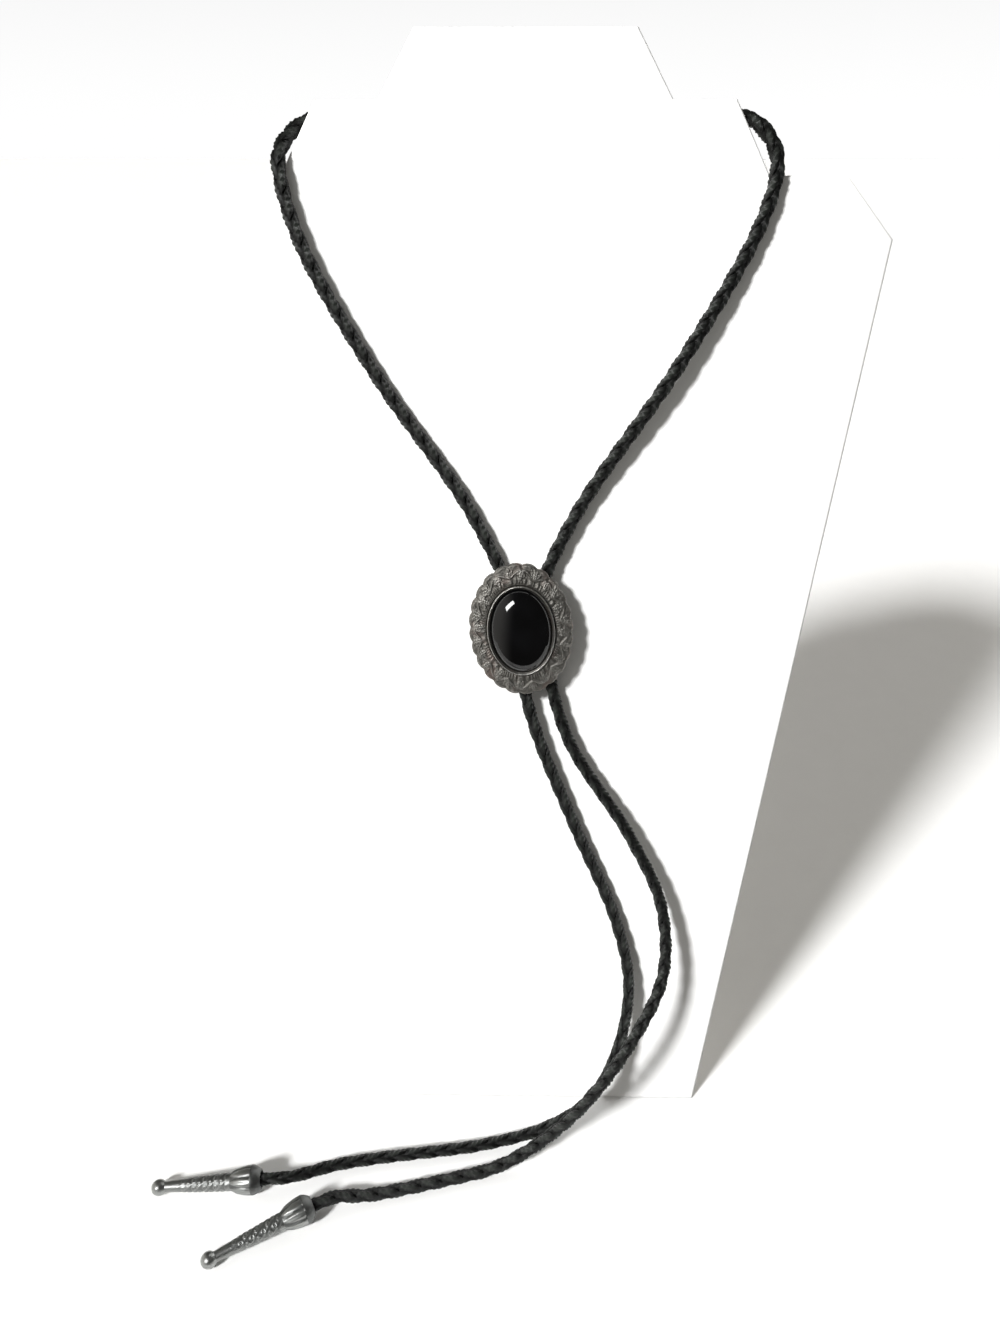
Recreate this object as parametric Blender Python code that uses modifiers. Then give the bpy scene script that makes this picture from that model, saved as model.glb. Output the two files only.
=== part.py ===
"""Bolo tie on a stepped necklace display board.

A braided leather cord goes round the neck of a white display board, through the clip of an oval
slide with a black stone, and down to the table, where its two cast tips lie in front of the board.
X is to the right, Y away from the viewer and Z up. The origin is the middle of the board's foot.
"""

from math import asin, atan2, cos, hypot, pi, radians, sin

import bmesh
import bpy
from mathutils import Matrix, Vector

MM = 0.001
GAP = 0.0003

# Display board: half width and height of each corner are shares of its width and height.
BOARD_WIDTH = 0.203
BOARD_HEIGHT = 0.3335
BOARD_THICKNESS = 0.004
BOARD_EDGE_ROUND = 0.0006
BOARD_LEAN = radians(12)
BOARD_CORNERS = [
    # half width, height
    (0.308, 0.0),
    (0.5, 0.8456),
    (0.431, 0.8936),
    (0.3276, 0.8936),
    (0.2783, 0.949),
    (0.1946, 0.949),
    (0.1453, 1.0),
]

# Easel leg: a card strut glued to the back by its tab, folded below it.
LEG_THICKNESS = 0.0025
LEG_TOP_WIDTH = 0.042
LEG_FOOT_WIDTH = 0.066
LEG_FOLD_HEIGHT = 0.205
LEG_TAB_LENGTH = 0.035
LEG_LEAN = radians(20)

# Cord.
CORD_DIAMETER = 0.004
CORD_STEP = 0.014
CORD_SIDE_RESOLUTION = 2

# The cord's route in millimetres, from the left tip's mouth to the right tip's mouth.
CORD_ROUTE = [
    (-81.5, -38, 4.7), (-73, -36.9, 4.3), (-57, -30.6, 2.5), (-12, -23, 2.3), (10, -17.5, 4.5),
    (25, -13.5, 14), (34, -5.5, 28.5), (37.5, 3.5, 49), (32.5, 10.5, 71.5), (18, 17.7, 105),
    (4, 24.3, 140.5), (-1.5, 30.1, 166), (-2.4, 31.9, 174.8), (-3, 32.9, 179), (-16, 38.7, 205),
    (-40.5, 46.4, 239), (-59.8, 52.3, 271.6), (-65, 55.9, 285.7), (-66.1, 57.3, 291.6),
    (-66.4, 58.9, 295.8), (-65.5, 62.7, 299.1), (-63.2, 66.8, 302.1), (-59.4, 69.6, 304.4),
    (-53, 70.5, 305.4), (-40, 70.4, 305.4), (0, 70.4, 305.4), (40, 70.4, 305.4), (52, 70.5, 305.7),
    (58.5, 69.9, 305.3), (62.6, 68.1, 304.1), (65.4, 65.4, 301.4), (67.1, 62.1, 298.2),
    (67.6, 58.7, 294.8), (67.3, 56.9, 290.1), (65.3, 55.1, 282.8), (60.6, 52.5, 272.1), (43, 44.5, 243),
    (16.5, 38, 203.5), (6, 33.2, 181), (5.7, 32.1, 175.6), (6.6, 30.3, 166.9), (15, 22.9, 135),
    (35.5, 14, 103.5), (46.5, 7, 80.5), (47, -4, 61), (36.5, -17.5, 46), (23, -24.5, 27), (9.5, -26, 10),
    (-7, -31.5, 2.8), (-47, -41.5, 2.5), (-57, -43.1, 3.9), (-63.5, -46.5, 4.7),
]

# Clip: two rolled channels under a flat back plate.
CHANNEL_SLACK = 0.0004
CHANNEL_WALL = 0.0004
CHANNEL_SPACING = 0.0082
CLIP_LENGTH = 0.008
CLIP_PLATE_THICKNESS = 0.0008
CLIP_PLATE_WIDTH = 0.0165
CLIP_ACROSS = 0.0020
CLIP_RISE = 0.0012

# Slide: where its middle sits on the board, and how far it is turned in the board's plane.
SLIDE_ACROSS = 0.0002
SLIDE_UP = 0.1726
SLIDE_TURN = radians(6)

# Stone.
STONE_WIDTH = 0.018
STONE_HEIGHT = 0.025
STONE_GIRDLE = 0.0013
STONE_DOME = 0.0042
STONE_SEGMENTS = 32
STONE_RINGS = 7

# Plate and bezel, one casting.
PLATE_WIDTH = 0.0313
PLATE_HEIGHT = 0.0407
PLATE_EDGE_THICKNESS = 0.0013
PLATE_EDGE_ROUND = 0.00025
SCALLOPS = 24
SCALLOP_DEPTH = 0.0006
SCALLOP_RISE = 0.0004
SCALLOP_POINTS = 7
MOUND_RISE = 0.0007
BAND_RINGS = 10
GROOVE_WIDTH = 0.0007
GROOVE_DEPTH = 0.0006
BEZEL_WALL = 0.0005
BEZEL_RISE = 0.0013
SEAT_FLOOR = 0.0011

# Raised running vine on the band: a wavy stem with a leaf lying in each of its bends.
VINE_RISE = 0.0006
VINE_WAVE = 0.0011
STEM_WIDTH = 0.0015
LEAF_ACROSS = 0.0017
LEAF_ALONG = 0.0030

# Tips: turned bodies with raised leaves on the bell and buds on the shank.
BALL_DIAMETER = 0.005
TIP_LENGTH = 0.0355
BELL_DIAMETER = 0.009
BELL_RIM_HEIGHT = 0.003
BELL_LENGTH = 0.0098
RIM_STEP = 0.0004
SHANK_THICK = 0.0048
SHANK_THIN = 0.0024
MOUTH_DIAMETER = 0.0056
TIP_STEPS = 20
PETALS = 8
PETAL_LENGTH = 0.0064
PETAL_WIDTH = 0.0024
PETAL_RISE = 0.0004
BUD_ROWS = 6
BUDS_A_ROW = 4
BUD_LENGTH = 0.0026
BUD_WIDTH = 0.0015
BUD_RISE = 0.0002
TIP_HEADINGS = {"tip_left": radians(183.3), "tip_right": radians(209.8)}

# Values that follow from the ones above.
CORD_RADIUS = CORD_DIAMETER / 2
BORE_RADIUS = CORD_RADIUS + CHANNEL_SLACK
CHANNEL_RADIUS = BORE_RADIUS + CHANNEL_WALL
CHANNEL_OFF = GAP + CHANNEL_RADIUS
PLATE_OFF = CHANNEL_OFF + CHANNEL_RADIUS + GAP
BOARD_FRONT_Y = -BOARD_THICKNESS / cos(BOARD_LEAN) / 2


def remove_everything():
    for thing in list(bpy.data.objects):
        bpy.data.objects.remove(thing, do_unlink=True)


def collection(name):
    made = bpy.data.collections.new(name)
    bpy.context.scene.collection.children.link(made)
    return made


def finish(name, colour, roughness, metallic):
    """One Principled material."""
    made = bpy.data.materials.new(name)
    made.use_nodes = True
    shader = made.node_tree.nodes["Principled BSDF"]
    shader.inputs["Base Color"].default_value = (*colour, 1)
    shader.inputs["Roughness"].default_value = roughness
    shader.inputs["Metallic"].default_value = metallic
    return made


def place(name, data, group, material=None, parent=None):
    thing = bpy.data.objects.new(name, data)
    group.objects.link(thing)
    thing.parent = parent
    if material:
        data.materials.append(material)
    return thing


def frame(name, group, matrix, parent=None):
    """An empty that pieces are placed on."""
    empty = place(name, None, group, parent=parent)
    empty.matrix_local = matrix
    return empty


def as_mesh_object(thing, group):
    """The same shape as a mesh object, welded, so that Booleans can use it."""
    bpy.context.view_layer.update()
    evaluated = thing.evaluated_get(bpy.context.evaluated_depsgraph_get())
    mesh = bpy.data.meshes.new_from_object(evaluated)
    cage = bmesh.new()
    cage.from_mesh(mesh)
    bmesh.ops.remove_doubles(cage, verts=cage.verts, dist=1e-7)
    cage.to_mesh(mesh)
    cage.free()
    made = bpy.data.objects.new(thing.name + "_mesh", mesh)
    group.objects.link(made)
    made.parent = thing.parent
    made.matrix_world = thing.matrix_world.copy()
    name = thing.name
    bpy.data.objects.remove(thing, do_unlink=True)
    made.name = name
    return made


def helper(thing):
    """Marks a cutter or a shape that is joined to another."""
    thing.hide_render = True
    thing.display_type = "WIRE"
    return thing


def boolean(thing, operand, operation):
    step = thing.modifiers.new(operation.lower(), "BOOLEAN")
    step.operation = operation
    step.object = helper(operand)
    step.solver = "EXACT"


def flat_outline(name, corners, thickness, edge_round, group, material=None, parent=None):
    """A flat sheet in its own XY plane, centred on it, with rounded rims."""
    curve = bpy.data.curves.new(name, "CURVE")
    curve.dimensions = "2D"
    curve.fill_mode = "BOTH"
    curve.extrude = thickness / 2 - edge_round
    curve.bevel_depth = edge_round
    curve.offset = -edge_round
    curve.bevel_resolution = 1
    spline = curve.splines.new("POLY")
    spline.points.add(len(corners) - 1)
    for point, (x, y) in zip(spline.points, corners):
        point.co = (x, y, 0, 1)
    spline.use_cyclic_u = True
    return place(name, curve, group, material, parent)


def turned(name, profile, steps, group, material=None, parent=None):
    """A profile of (radius, height) pairs, listed top to bottom, turned about Z."""
    mesh = bpy.data.meshes.new(name)
    points = [(radius, 0, height) for radius, height in profile]
    mesh.from_pydata(points, [(i, i + 1) for i in range(len(points) - 1)], [])
    thing = place(name, mesh, group, material, parent)
    screw = thing.modifiers.new("turn", "SCREW")
    screw.steps = steps
    screw.render_steps = steps
    screw.use_merge_vertices = True
    screw.merge_threshold = 1e-6
    screw.use_smooth_shade = True
    return thing


def solid_block(name, size, centre, group, parent=None):
    mesh = bpy.data.meshes.new(name)
    cage = bmesh.new()
    bmesh.ops.create_cube(cage, size=1, matrix=Matrix.Translation(centre) @ Matrix.Diagonal((*size, 1)))
    cage.to_mesh(mesh)
    cage.free()
    return place(name, mesh, group, parent=parent)


def along_route(points, step):
    """A smooth curve through the route's points: a centripetal Catmull-Rom spline.

    Every point of the route stays a point of the curve, with others between them about a step apart.
    """
    ends = [2 * points[0] - points[1], *points, 2 * points[-1] - points[-2]]
    smooth = []
    for before, start, end, after in zip(ends, ends[1:], ends[2:], ends[3:]):
        knots = [0.0]
        for a, b in ((before, start), (start, end), (end, after)):
            knots.append(knots[-1] + (b - a).length ** 0.5)
        t0, t1, t2, t3 = knots
        parts = max(1, round((end - start).length / step))
        for part in range(parts):
            t = t1 + (t2 - t1) * part / parts
            a1 = before.lerp(start, (t - t0) / (t1 - t0))
            a2 = start.lerp(end, (t - t1) / (t2 - t1))
            a3 = end.lerp(after, (t - t2) / (t3 - t2))
            b1 = a1.lerp(a2, (t - t0) / (t2 - t0))
            b2 = a2.lerp(a3, (t - t1) / (t3 - t1))
            smooth.append(b1.lerp(b2, (t - t1) / (t2 - t1)))
    smooth.append(points[-1])
    return smooth


def make_cord(group, material):
    route = [Vector(point) * MM for point in CORD_ROUTE]
    path = along_route(route, CORD_STEP)
    curve = bpy.data.curves.new("cord", "CURVE")
    curve.dimensions = "3D"
    curve.bevel_depth = CORD_RADIUS
    curve.bevel_resolution = CORD_SIDE_RESOLUTION
    curve.use_fill_caps = True
    spline = curve.splines.new("POLY")
    spline.points.add(len(path) - 1)
    for point, at in zip(spline.points, path):
        point.co = (at.x, at.y, max(at.z, CORD_RADIUS), 1)
    return place("cord", curve, group, material)


def ground_cutter(group):
    """A block below the table's surface, which cuts the feet flat."""
    side = 2 * BOARD_HEIGHT
    return solid_block("ground_cutter", (side, side, side), (0, 0, -side / 2), group)


def make_board(group, cutters, ground, display, material):
    below = 4 * BOARD_THICKNESS
    corners = [(half * BOARD_WIDTH, share * BOARD_HEIGHT) for half, share in BOARD_CORNERS]
    (foot_half, _), (next_half, next_height) = corners[:2]
    slant = (next_half - foot_half) / next_height
    right = [(foot_half - slant * below, -below)] + corners[1:]
    outline = right + [(-x, y) for x, y in reversed(right)]
    sheet = flat_outline("display_board", outline, BOARD_THICKNESS, BOARD_EDGE_ROUND, group, material, display)
    # The sheet's plane is the board's mid-plane, stood up so that its own Y runs up the slope.
    sheet.matrix_local = Matrix.Translation((0, BOARD_THICKNESS / 2, 0)) @ Matrix.Rotation(pi / 2, 4, "X")
    board = as_mesh_object(sheet, group)
    boolean(board, ground, "DIFFERENCE")
    return board


def make_leg(group, cutters, ground, display, material):
    """The tab lies on the board's back, and the leg folds away from it to the table."""
    fold = (
        display.matrix_world
        @ Vector((0, BOARD_THICKNESS + GAP + LEG_THICKNESS / 2, LEG_FOLD_HEIGHT))
    )
    below = 4 * LEG_THICKNESS
    leg_length = (fold.z + below) / cos(LEG_LEAN)
    top = LEG_TOP_WIDTH / 2
    foot = LEG_FOOT_WIDTH / 2
    edge = BOARD_EDGE_ROUND
    leg = flat_outline(
        "easel_leg", [(-top, 0), (-foot, -leg_length), (foot, -leg_length), (top, 0)],
        LEG_THICKNESS, edge, group, material,
    )
    leg.matrix_world = Matrix.Translation(fold) @ Matrix.Rotation(pi / 2 + LEG_LEAN, 4, "X")
    leg = as_mesh_object(leg, group)
    tab = flat_outline(
        "leg_tab", [(-top, -LEG_THICKNESS / 2), (top, -LEG_THICKNESS / 2), (top, LEG_TAB_LENGTH), (-top, LEG_TAB_LENGTH)],
        LEG_THICKNESS, edge, cutters,
    )
    tab.matrix_world = Matrix.Translation(fold) @ Matrix.Rotation(pi / 2 - BOARD_LEAN, 4, "X")
    boolean(leg, as_mesh_object(tab, cutters), "UNION")
    boolean(leg, ground, "DIFFERENCE")
    return leg


def oval_angles(half_width, half_height, count):
    """Angles from the top of an oval that divide its outline into equal lengths."""
    fine = 20 * count
    run = [0.0]
    for i in range(fine):
        middle = 2 * pi * (i + 0.5) / fine
        run.append(run[-1] + hypot(half_width * cos(middle), half_height * sin(middle)))
    angles = []
    at = 0
    for i in range(count):
        want = run[-1] * i / count
        while run[at + 1] < want:
            at += 1
        angles.append(2 * pi * (at + (want - run[at]) / (run[at + 1] - run[at])) / fine)
    return angles


def bump(distance, width):
    """1 on a ridge's middle line, falling smoothly to 0 at half its width."""
    share = min(1.0, abs(distance) / (width / 2))
    return (1 - share * share) ** 2


def vine(turns, cell, off_middle):
    """Height of the raised vine, 0 to 1, at a place on the band.

    turns is the place round the band in scallops, cell a scallop's length there, and off_middle
    the distance outwards from the band's middle line.
    """
    height = bump(off_middle - VINE_WAVE * sin(pi * turns), STEM_WIDTH)
    bend = int(turns)
    side = 1 if bend % 2 == 0 else -1
    along = (turns - bend - 0.5) * cell / LEAF_ALONG
    across = (off_middle + side * VINE_WAVE) / LEAF_ACROSS
    return max(height, bump(hypot(along, across), 1))


def make_setting(group, material, slide):
    """Lofted rings from the back of the plate over its edge and band to the bezel and the seat."""
    half = (PLATE_WIDTH / 2, PLATE_HEIGHT / 2)
    angles = oval_angles(*half, SCALLOPS * SCALLOP_POINTS)
    seat = (STONE_WIDTH / 2 + GAP, STONE_HEIGHT / 2 + GAP)
    bezel = (seat[0] + BEZEL_WALL, seat[1] + BEZEL_WALL)
    groove = (bezel[0] + GROOVE_WIDTH, bezel[1] + GROOVE_WIDTH)
    band_top = PLATE_EDGE_THICKNESS + MOUND_RISE
    rim_top = band_top + BEZEL_RISE

    def lobe(i):
        """0 between two scallops and 1 in the middle of one."""
        return abs(cos(pi * (i / SCALLOP_POINTS)))

    def outline(inset, height):
        ring = []
        for i, angle in enumerate(angles):
            shrink = inset + SCALLOP_DEPTH * (1 - lobe(i)) ** 1.5
            ring.append(((half[0] - shrink) * sin(angle), (half[1] - shrink) * cos(angle), height))
        return ring

    def oval(radii, height):
        return [(radii[0] * sin(angle), radii[1] * cos(angle), height) for angle in angles]

    def band(share):
        """One ring of the raised band, from the edge at share 0 to the groove at share 1."""
        ring = []
        edge = outline(PLATE_EDGE_ROUND, 0)
        inner = oval(groove, 0)
        for i, ((x0, y0, _), (x1, y1, _)) in enumerate(zip(edge, inner)):
            width = hypot(x0 - x1, y0 - y1)
            cell = hypot(x0, y0) * 2 * pi / SCALLOPS
            rise = MOUND_RISE * sin(pi / 2 * share)
            rise += SCALLOP_RISE * lobe(i) * max(0.0, 1 - share / 0.35) * min(1.0, share / 0.08)
            fade = min(1.0, share / 0.2, (1 - share) / 0.12)
            rise += VINE_RISE * fade * vine(i / SCALLOP_POINTS, cell, (0.42 - share) * width)
            height = PLATE_EDGE_THICKNESS + rise
            ring.append((x0 + (x1 - x0) * share, y0 + (y1 - y0) * share, height))
        return ring

    rings = [outline(PLATE_EDGE_ROUND, 0), outline(0, PLATE_EDGE_ROUND)]
    rings.append(outline(0, PLATE_EDGE_THICKNESS - PLATE_EDGE_ROUND))
    rings += [band(k / BAND_RINGS) for k in range(BAND_RINGS + 1)]
    rings += [oval(groove, band_top - GROOVE_DEPTH), oval(bezel, band_top - GROOVE_DEPTH)]
    rings += [oval(bezel, rim_top), oval(seat, rim_top), oval(seat, SEAT_FLOOR)]

    cage = bmesh.new()
    loops = [[cage.verts.new(point) for point in ring] for ring in rings]
    count = len(angles)
    for outer, inner in zip(loops, loops[1:]):
        for i in range(count):
            j = (i + 1) % count
            cage.faces.new((outer[j], outer[i], inner[i], inner[j]))
    cage.faces.new(loops[0])
    cage.faces.new(reversed(loops[-1]))
    bmesh.ops.recalc_face_normals(cage, faces=cage.faces)
    mesh = bpy.data.meshes.new("slide_setting")
    cage.to_mesh(mesh)
    cage.free()
    mesh.shade_smooth()
    mesh.set_sharp_from_angle(angle=radians(60))
    return place("slide_setting", mesh, group, material, slide)


def make_stone(group, material, slide):
    """A cabochon: a low upright girdle under a dome, turned round and then drawn out to an oval."""
    radius = STONE_WIDTH / 2
    base = SEAT_FLOOR + GAP
    profile = []
    for k in range(STONE_RINGS + 1):
        angle = pi / 2 * k / STONE_RINGS
        profile.append((radius * sin(angle), base + STONE_GIRDLE + STONE_DOME * cos(angle)))
    profile += [(radius, base), (0, base)]
    stone = turned("stone", profile, STONE_SEGMENTS, group, material, slide)
    stone.scale = (1, STONE_HEIGHT / STONE_WIDTH, 1)
    return stone


def make_clip(group, cutters, material, slide):
    """A flat plate against the slide's back with two rolled channels, which the cord runs through."""
    back = -GAP - CLIP_PLATE_THICKNESS / 2
    plate = solid_block(
        "slide_clip", (CLIP_PLATE_WIDTH, CLIP_LENGTH, CLIP_PLATE_THICKNESS), (CLIP_ACROSS, CLIP_RISE, back), group, slide
    )
    plate.data.materials.append(material)
    for side in (-1, 1):
        across = CLIP_ACROSS + side * CHANNEL_SPACING / 2
        for radius, length, operation in (
            (CHANNEL_RADIUS, CLIP_LENGTH, "UNION"),
            (BORE_RADIUS, 2 * CLIP_LENGTH, "DIFFERENCE"),
        ):
            mesh = bpy.data.meshes.new("channel")
            cage = bmesh.new()
            bmesh.ops.create_cone(cage, cap_ends=True, segments=20, radius1=radius, radius2=radius, depth=length)
            cage.to_mesh(mesh)
            cage.free()
            tube = place("channel", mesh, cutters, parent=slide)
            tube.location = (across, CLIP_RISE, -GAP - CHANNEL_RADIUS)
            tube.rotation_euler = (pi / 2, 0, 0)
            boolean(plate, tube, operation)
    return plate


def tip_profile():
    """Outline of a tip from the end of its ball, at the top, to its mouth at height 0."""
    ball = BALL_DIAMETER / 2
    ball_at = TIP_LENGTH - ball
    neck_angle = asin(SHANK_THIN / 2 / ball)
    profile = []
    for k in range(7):
        angle = (pi - neck_angle) * k / 6
        profile.append((ball * sin(angle), ball_at + ball * cos(angle)))
    thick = SHANK_THICK / 2
    rim = BELL_DIAMETER / 2
    bell = rim - RIM_STEP
    mouth = MOUTH_DIAMETER / 2
    for share in (0.0, 0.25, 0.5, 0.75, 1.0):
        swell = sin(pi / 2 * share)
        profile.append((thick + (bell - thick) * swell, BELL_LENGTH + (BELL_RIM_HEIGHT - BELL_LENGTH) * share))
    for share in (0.15, 0.5, 0.8):
        profile.append((mouth + (rim - mouth) * cos(pi / 2 * share), BELL_RIM_HEIGHT * (1 - share)))
    profile += [(mouth, 0), (0, 0)]
    return profile


def raised_drop(name, length, width, rise, matrix, group, parent):
    """A low drop shape that is joined to a tip: a petal or a bud, pointed at its top."""
    mesh = bpy.data.meshes.new(name)
    cage = bmesh.new()
    bmesh.ops.create_uvsphere(cage, u_segments=8, v_segments=5, radius=1)
    for vert in cage.verts:
        taper = 1 - 0.45 * max(0.0, vert.co.z)
        vert.co = Vector((vert.co.x * rise, vert.co.y * width / 2 * taper, vert.co.z * length / 2))
    cage.to_mesh(mesh)
    cage.free()
    drop = place(name, mesh, group, parent=parent)
    drop.matrix_local = matrix
    return drop


def make_tip(name, mouth, heading, group, cutters, material):
    """A tip lies on the table on its rim and its ball, with its mouth at the cord's end."""
    rim = BELL_DIAMETER / 2
    ball = BALL_DIAMETER / 2
    slope = asin((rim - ball) / (TIP_LENGTH - ball - BELL_RIM_HEIGHT))
    axis = Vector((cos(heading) * cos(slope), sin(heading) * cos(slope), -sin(slope)))
    turn = Matrix.Rotation(heading, 4, "Z") @ Matrix.Rotation(pi / 2 + slope, 4, "Y")
    start = Vector((mouth.x, mouth.y, rim / cos(slope) + BELL_RIM_HEIGHT * sin(slope))) + axis * GAP
    tip = turned(name, tip_profile(), TIP_STEPS, group, material)
    tip.matrix_local = Matrix.Translation(start) @ turn

    petal_at = (BELL_RIM_HEIGHT + BELL_LENGTH) / 2
    bell_drop = rim - RIM_STEP - SHANK_THICK / 2
    bell_radius = SHANK_THICK / 2 + bell_drop * sin(pi / 4)
    lean = atan2(bell_drop, BELL_LENGTH - BELL_RIM_HEIGHT)
    for petal in range(PETALS):
        spot = Matrix.Rotation(2 * pi * petal / PETALS, 4, "Z")
        spot @= Matrix.Translation((bell_radius, 0, petal_at))
        spot @= Matrix.Rotation(-lean, 4, "Y")
        shape = raised_drop("petal", PETAL_LENGTH, PETAL_WIDTH, PETAL_RISE, spot, cutters, tip)
        boolean(tip, shape, "UNION")
    shank_end = TIP_LENGTH - BALL_DIAMETER
    for row in range(BUD_ROWS):
        share = (row + 0.5) / BUD_ROWS
        radius = (SHANK_THICK + (SHANK_THIN - SHANK_THICK) * share) / 2
        for bud in range(BUDS_A_ROW):
            spot = Matrix.Rotation(2 * pi * (bud + row / 2) / BUDS_A_ROW, 4, "Z")
            spot @= Matrix.Translation((radius, 0, BELL_LENGTH + (shank_end - BELL_LENGTH) * share))
            spot @= Matrix.Rotation(radians(25), 4, "X")
            width = BUD_WIDTH * (1 - 0.4 * share)
            boolean(tip, raised_drop("bud", BUD_LENGTH, width, BUD_RISE, spot, cutters, tip), "UNION")
    return tip


def build():
    remove_everything()
    parts = collection("bolo_tie")
    cutters = collection("cutters")
    white_board = finish("white_board", (0.86, 0.86, 0.85), 0.45, 0.0)
    leather = finish("black_leather", (0.018, 0.019, 0.018), 0.42, 0.0)
    pewter = finish("antique_pewter", (0.23, 0.22, 0.20), 0.42, 1.0)
    bright_metal = finish("bright_pewter", (0.38, 0.39, 0.39), 0.34, 1.0)
    clip_metal = finish("clip_metal", (0.55, 0.55, 0.54), 0.35, 1.0)
    onyx = finish("black_stone", (0.006, 0.006, 0.007), 0.04, 0.0)

    lean = Matrix.Translation((0, BOARD_FRONT_Y, 0)) @ Matrix.Rotation(-BOARD_LEAN, 4, "X")
    display = frame("display_frame", parts, lean)
    on_board = Matrix.Translation((SLIDE_ACROSS, -PLATE_OFF, SLIDE_UP))
    face_out = Matrix.Rotation(-SLIDE_TURN, 4, "Y") @ Matrix.Rotation(pi / 2, 4, "X")
    slide = frame("slide_frame", parts, on_board @ face_out, display)
    bpy.context.view_layer.update()

    ground = ground_cutter(cutters)
    make_board(parts, cutters, ground, display, white_board)
    make_leg(parts, cutters, ground, display, white_board.copy())
    make_cord(parts, leather)
    make_setting(parts, pewter, slide)
    make_stone(parts, onyx, slide)
    make_clip(parts, cutters, clip_metal, slide)
    mouths = {"tip_left": CORD_ROUTE[0], "tip_right": CORD_ROUTE[-1]}
    for name, heading in TIP_HEADINGS.items():
        metal = bright_metal if name == "tip_left" else bright_metal.copy()
        make_tip(name, Vector(mouths[name]) * MM, heading, parts, cutters, metal)


build()
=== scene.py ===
"""A bolo tie on its necklace display board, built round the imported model."""

from math import asin, cos, pi, radians, sin, tan

import bpy
import numpy as np
from mathutils import Matrix, Vector


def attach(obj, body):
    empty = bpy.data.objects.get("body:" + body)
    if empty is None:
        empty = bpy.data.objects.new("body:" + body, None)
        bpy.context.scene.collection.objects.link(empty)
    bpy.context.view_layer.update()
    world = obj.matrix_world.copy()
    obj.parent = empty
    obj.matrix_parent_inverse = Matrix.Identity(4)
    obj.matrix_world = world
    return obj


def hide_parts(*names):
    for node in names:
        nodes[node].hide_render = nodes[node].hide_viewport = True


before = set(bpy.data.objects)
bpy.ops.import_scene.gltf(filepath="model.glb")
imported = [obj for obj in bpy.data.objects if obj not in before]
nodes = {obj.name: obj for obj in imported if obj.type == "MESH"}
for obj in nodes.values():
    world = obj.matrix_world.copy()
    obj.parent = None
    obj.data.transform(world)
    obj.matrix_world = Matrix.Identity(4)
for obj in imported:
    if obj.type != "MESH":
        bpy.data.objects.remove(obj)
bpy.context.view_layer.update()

# Camera: it looks down at the display from above the table in front of it, as in the photo. Its
# place, its tilt and its focal length come from the board's outline there.
LONG_SIDE_PX = 1333
FOCAL_PX = 1001
SENSOR_WIDTH = 36
NEAREST_SEEN = 0.01
CAMERA_PLACE = (-0.00189, -0.24232, 0.30266)
CAMERA_PITCH = radians(28.29)
CAMERA_YAW = radians(0.9)

camera_lens = bpy.data.cameras.new("camera")
camera_lens.sensor_width = SENSOR_WIDTH
camera_lens.lens = SENSOR_WIDTH * FOCAL_PX / LONG_SIDE_PX
camera_lens.clip_start = NEAREST_SEEN
camera = bpy.data.objects.new("camera", camera_lens)
camera.location = CAMERA_PLACE
camera.rotation_euler = (pi / 2 - CAMERA_PITCH, 0, CAMERA_YAW)
bpy.context.collection.objects.link(camera)
bpy.context.scene.camera = camera


# Cord: four laces of black leather, cupped round each other and braided into a round cord, 4 mm
# thick and 1 m long. It hangs round the board's neck, runs through the slide's clip and ends on the
# table, with a tip pushed on each end.
MM = 0.001
BRAID_PITCH = 0.0138
LACE_MIDDLE = 0.00129
LACE_WEAVE = 0.00038
LACE_HALF_WRAP = radians(84)
LACE_THICKNESS = 0.001
LACE_SQUARENESS = 0.8
LACE_CROWN = 0.00018
CROWN_OUT = 0.25
LACE_CORNERS = 12
STEPS_A_PITCH = 22
STEPS_A_STRETCH = 24
SMOOTHINGS = 3
CORD_IN_TIP = 0.0015
CORD_ROUTE = MM * np.array([
    (-81.5, -38, 4.7), (-73, -36.9, 4.3), (-57, -30.6, 2.5), (-12, -23, 2.3), (10, -17.5, 4.5),
    (25, -13.5, 14), (34, -5.5, 28.5), (37.5, 3.5, 49), (32.5, 10.5, 71.5), (18, 17.7, 105),
    (4, 24.3, 140.5), (-1.5, 30.1, 166), (-2.4, 31.9, 174.8), (-3, 32.9, 179), (-16, 38.7, 205),
    (-40.5, 46.4, 239), (-59.8, 52.3, 271.6), (-65, 55.9, 285.7), (-66.1, 57.3, 291.6),
    (-66.4, 58.9, 295.8), (-65.5, 62.7, 299.1), (-63.2, 66.8, 302.1), (-59.4, 69.6, 304.4),
    (-53, 70.5, 305.4), (-40, 70.4, 305.4), (0, 70.4, 305.4), (40, 70.4, 305.4), (52, 70.5, 305.7),
    (58.5, 69.9, 305.3), (62.6, 68.1, 304.1), (65.4, 65.4, 301.4), (67.1, 62.1, 298.2),
    (67.6, 58.7, 294.8), (67.3, 56.9, 290.1), (65.3, 55.1, 282.8), (60.6, 52.5, 272.1),
    (43, 44.5, 243), (16.5, 38, 203.5), (6, 33.2, 181), (5.7, 32.1, 175.6), (6.6, 30.3, 166.9),
    (15, 22.9, 135), (35.5, 14, 103.5), (46.5, 7, 80.5), (47, -4, 61), (36.5, -17.5, 46),
    (23, -24.5, 27), (9.5, -26, 10), (-7, -31.5, 2.8), (-47, -41.5, 2.5), (-57, -43.1, 3.9),
    (-63.5, -46.5, 4.7),
])


def unit(vectors):
    return vectors / np.linalg.norm(vectors, axis=-1, keepdims=True)


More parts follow.
